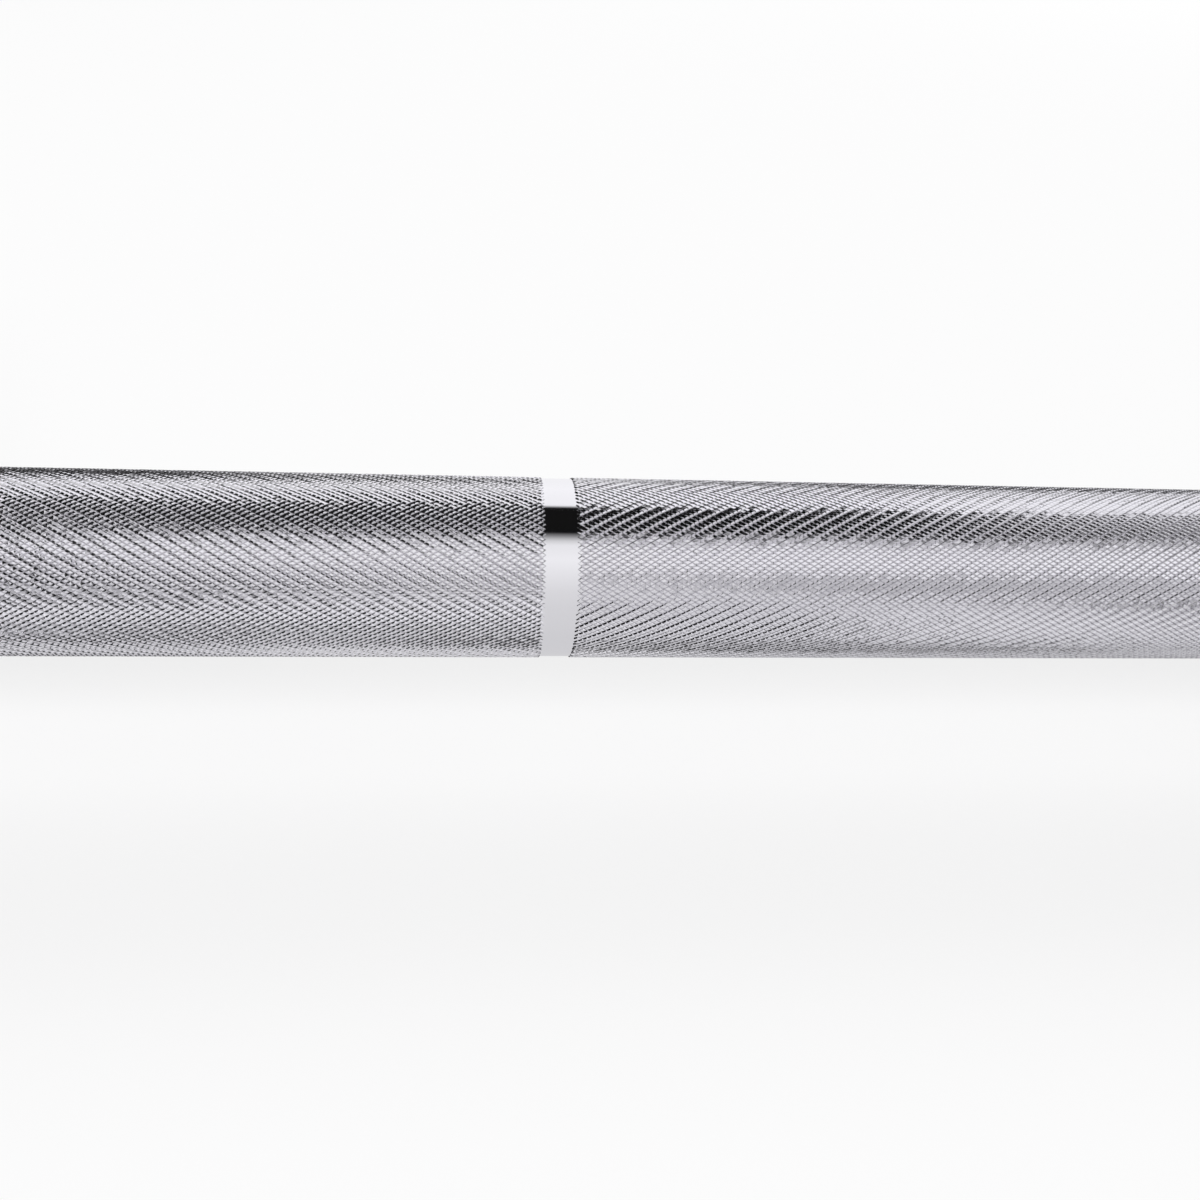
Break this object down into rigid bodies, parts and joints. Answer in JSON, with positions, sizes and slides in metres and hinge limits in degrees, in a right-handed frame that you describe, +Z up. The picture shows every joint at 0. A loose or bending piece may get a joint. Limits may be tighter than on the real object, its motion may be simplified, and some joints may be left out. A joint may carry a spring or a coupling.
{
  "type": "safety squat bar",
  "caption": "Cambered knurled steel barbell with a padded yoke, forward handles and turning plate sleeves.",
  "frame": {"origin": "on the floor under the middle of the whole bar, as it lies on its two collars and grip rims", "axes": "+X along the bar to the right sleeve, -Y forward along the handles, +Z up"},
  "size_m": [2.2016, 0.4989, 0.157],
  "materials": {
    "knurled_chrome": "diamond-knurled, hard chromed",
    "chrome": "polished, hard chromed",
    "steel": "ground",
    "spring_steel": "blackened",
    "bronze": "turned bearing bronze",
    "vinyl": "grained black vinyl",
    "foam": "closed-cell foam",
    "rubber": "ribbed matte rubber",
    "plastic": "moulded"
  },
  "bodies": {
    "bar": {"shaft": "knurled_chrome", "neck_cover": "vinyl", "neck_foam": "foam", "left_rail": "chrome", "left_rail_weld": "chrome", "left_grip": "rubber", "left_rail_plug": "plastic", "left_shoulder_cover": "vinyl", "left_shoulder_foam": "foam", "left_circlip": "spring_steel", "right_rail": "chrome", "right_rail_weld": "chrome", "right_grip": "rubber", "right_rail_plug": "plastic", "right_shoulder_cover": "vinyl", "right_shoulder_foam": "foam", "right_circlip": "spring_steel"},
    "left_sleeve": {"left_sleeve": "chrome", "left_collar": "chrome", "left_inner_bushing": "bronze", "left_outer_bushing": "bronze", "left_inner_washer": "steel", "left_outer_washer": "steel", "left_end_cap": "chrome"},
    "right_sleeve": {"right_sleeve": "chrome", "right_collar": "chrome", "right_inner_bushing": "bronze", "right_outer_bushing": "bronze", "right_inner_washer": "steel", "right_outer_washer": "steel", "right_end_cap": "chrome"}
  },
  "joints": [
    {"name": "left_sleeve_spin", "type": "hinge", "parent": "bar", "child": "left_sleeve", "pos_m": [-0.655, 0.15147, 0.039], "axis": [1, 0, 0], "continuous": true},
    {"name": "right_sleeve_spin", "type": "hinge", "parent": "bar", "child": "right_sleeve", "pos_m": [0.655, 0.15147, 0.039], "axis": [1, 0, 0], "continuous": true}
  ]
}
